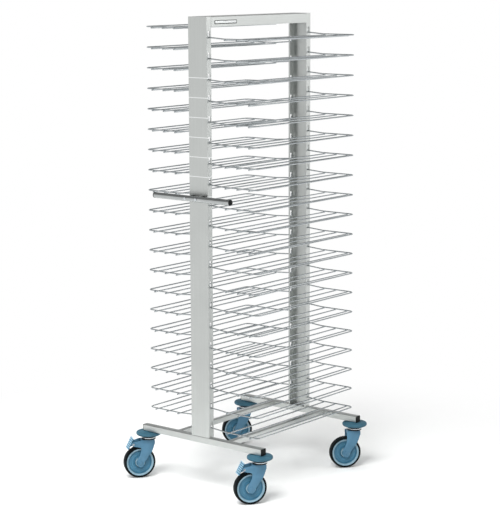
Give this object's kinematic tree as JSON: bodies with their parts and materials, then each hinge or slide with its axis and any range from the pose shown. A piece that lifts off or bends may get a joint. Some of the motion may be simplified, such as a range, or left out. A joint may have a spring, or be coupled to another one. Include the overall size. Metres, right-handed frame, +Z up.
{
  "type": "plate rack trolley",
  "caption": "Tall wheeled rack for covered plates: two slotted sheet uprights carry bright wire racks on both sides, on a light base with swivel casters and front brakes",
  "frame": {"origin": "on the floor, under the middle of the trolley's overall box", "axes": "Z is up; X runs along the crossbars, with the right-hand racks on +X as seen from the handle; Y runs from the handle end (-Y) to the rear upright (+Y)"},
  "size_m": [0.6826, 0.7466, 1.796],
  "materials": {
    "stainless_steel": "fine brushed stainless sheet",
    "bright_wire": "electropolished stainless wire",
    "black_plastic": "satin moulded",
    "caster_plastic": "satin moulded",
    "pedal_plastic": "satin moulded, ribbed",
    "bumper_rubber": "soft matt",
    "tyre_rubber": "matt",
    "plated_steel": "bright zinc plated"
  },
  "bodies": {
    "frame": {"front_upright": "stainless_steel", "rear_upright": "stainless_steel", "top_bar": "stainless_steel", "name_plate": "stainless_steel", "front_crossbar": "stainless_steel", "rear_crossbar": "stainless_steel", "left_base_rail": "stainless_steel", "right_base_rail": "stainless_steel", "crossbar_end_plugs": "black_plastic", "handle_tube": "stainless_steel", "handle_spacers": "stainless_steel", "handle_end_caps": "black_plastic", "handle_screws": "plated_steel", "right_racks_1": "bright_wire", "left_racks_1": "bright_wire", "right_racks_2": "bright_wire", "left_racks_2": "bright_wire", "right_racks_3": "bright_wire", "left_racks_3": "bright_wire", "right_racks_4": "bright_wire", "left_racks_4": "bright_wire", "front_left_caster_stem": "plated_steel", "front_left_caster_race": "plated_steel", "front_left_caster_bumper": "bumper_rubber", "front_right_caster_stem": "plated_steel", "front_right_caster_race": "plated_steel", "front_right_caster_bumper": "bumper_rubber", "rear_left_caster_stem": "plated_steel", "rear_left_caster_race": "plated_steel", "rear_left_caster_bumper": "bumper_rubber", "rear_right_caster_stem": "plated_steel", "rear_right_caster_race": "plated_steel", "rear_right_caster_bumper": "bumper_rubber", "caster_stem_nuts": "plated_steel"},
    "front_left_swivel": {"front_left_caster_fork": "caster_plastic", "front_left_caster_axle": "plated_steel", "front_left_caster_nose_pin": "plated_steel"},
    "front_left_wheel": {"front_left_caster_rim": "caster_plastic", "front_left_caster_tyre": "tyre_rubber"},
    "front_left_pedal": {"front_left_brake_pedal": "pedal_plastic"},
    "front_right_swivel": {"front_right_caster_fork": "caster_plastic", "front_right_caster_axle": "plated_steel", "front_right_caster_nose_pin": "plated_steel"},
    "front_right_wheel": {"front_right_caster_rim": "caster_plastic", "front_right_caster_tyre": "tyre_rubber"},
    "front_right_pedal": {"front_right_brake_pedal": "pedal_plastic"},
    "rear_left_swivel": {"rear_left_caster_fork": "caster_plastic", "rear_left_caster_axle": "plated_steel"},
    "rear_left_wheel": {"rear_left_caster_rim": "caster_plastic", "rear_left_caster_tyre": "tyre_rubber"},
    "rear_right_swivel": {"rear_right_caster_fork": "caster_plastic", "rear_right_caster_axle": "plated_steel"},
    "rear_right_wheel": {"rear_right_caster_rim": "caster_plastic", "rear_right_caster_tyre": "tyre_rubber"}
  },
  "joints": [
    {"name": "front_left_swivel_turn", "type": "hinge", "parent": "frame", "child": "front_left_swivel", "pos_m": [-0.26469, -0.28217, 0.15], "axis": [0, 0, 1], "continuous": true},
    {"name": "front_left_wheel_spin", "type": "hinge", "parent": "front_left_swivel", "child": "front_left_wheel", "pos_m": [-0.2865, -0.31451, 0.0625], "axis": [0.829, -0.5592, 0], "continuous": true},
    {"name": "front_left_pedal_press", "type": "hinge", "parent": "front_left_swivel", "child": "front_left_pedal", "pos_m": [-0.30216, -0.33772, 0.138], "axis": [0.829, -0.5592, 0], "range_deg": [0, 18]},
    {"name": "front_right_swivel_turn", "type": "hinge", "parent": "frame", "child": "front_right_swivel", "pos_m": [0.29231, -0.28217, 0.15], "axis": [0, 0, 1], "continuous": true},
    {"name": "front_right_wheel_spin", "type": "hinge", "parent": "front_right_swivel", "child": "front_right_wheel", "pos_m": [0.2705, -0.31451, 0.0625], "axis": [0.829, -0.5592, 0], "continuous": true},
    {"name": "front_right_pedal_press", "type": "hinge", "parent": "front_right_swivel", "child": "front_right_pedal", "pos_m": [0.25484, -0.33772, 0.138], "axis": [0.829, -0.5592, 0], "range_deg": [0, 18]},
    {"name": "rear_left_swivel_turn", "type": "hinge", "parent": "frame", "child": "rear_left_swivel", "pos_m": [-0.26469, 0.32433, 0.15], "axis": [0, 0, 1], "continuous": true},
    {"name": "rear_left_wheel_spin", "type": "hinge", "parent": "rear_left_swivel", "child": "rear_left_wheel", "pos_m": [-0.29028, 0.29489, 0.0625], "axis": [0.7547, -0.6561, 0], "continuous": true},
    {"name": "rear_right_swivel_turn", "type": "hinge", "parent": "frame", "child": "rear_right_swivel", "pos_m": [0.29231, 0.32433, 0.15], "axis": [0, 0, 1], "continuous": true},
    {"name": "rear_right_wheel_spin", "type": "hinge", "parent": "rear_right_swivel", "child": "rear_right_wheel", "pos_m": [0.26672, 0.29489, 0.0625], "axis": [0.7547, -0.6561, 0], "continuous": true}
  ]
}
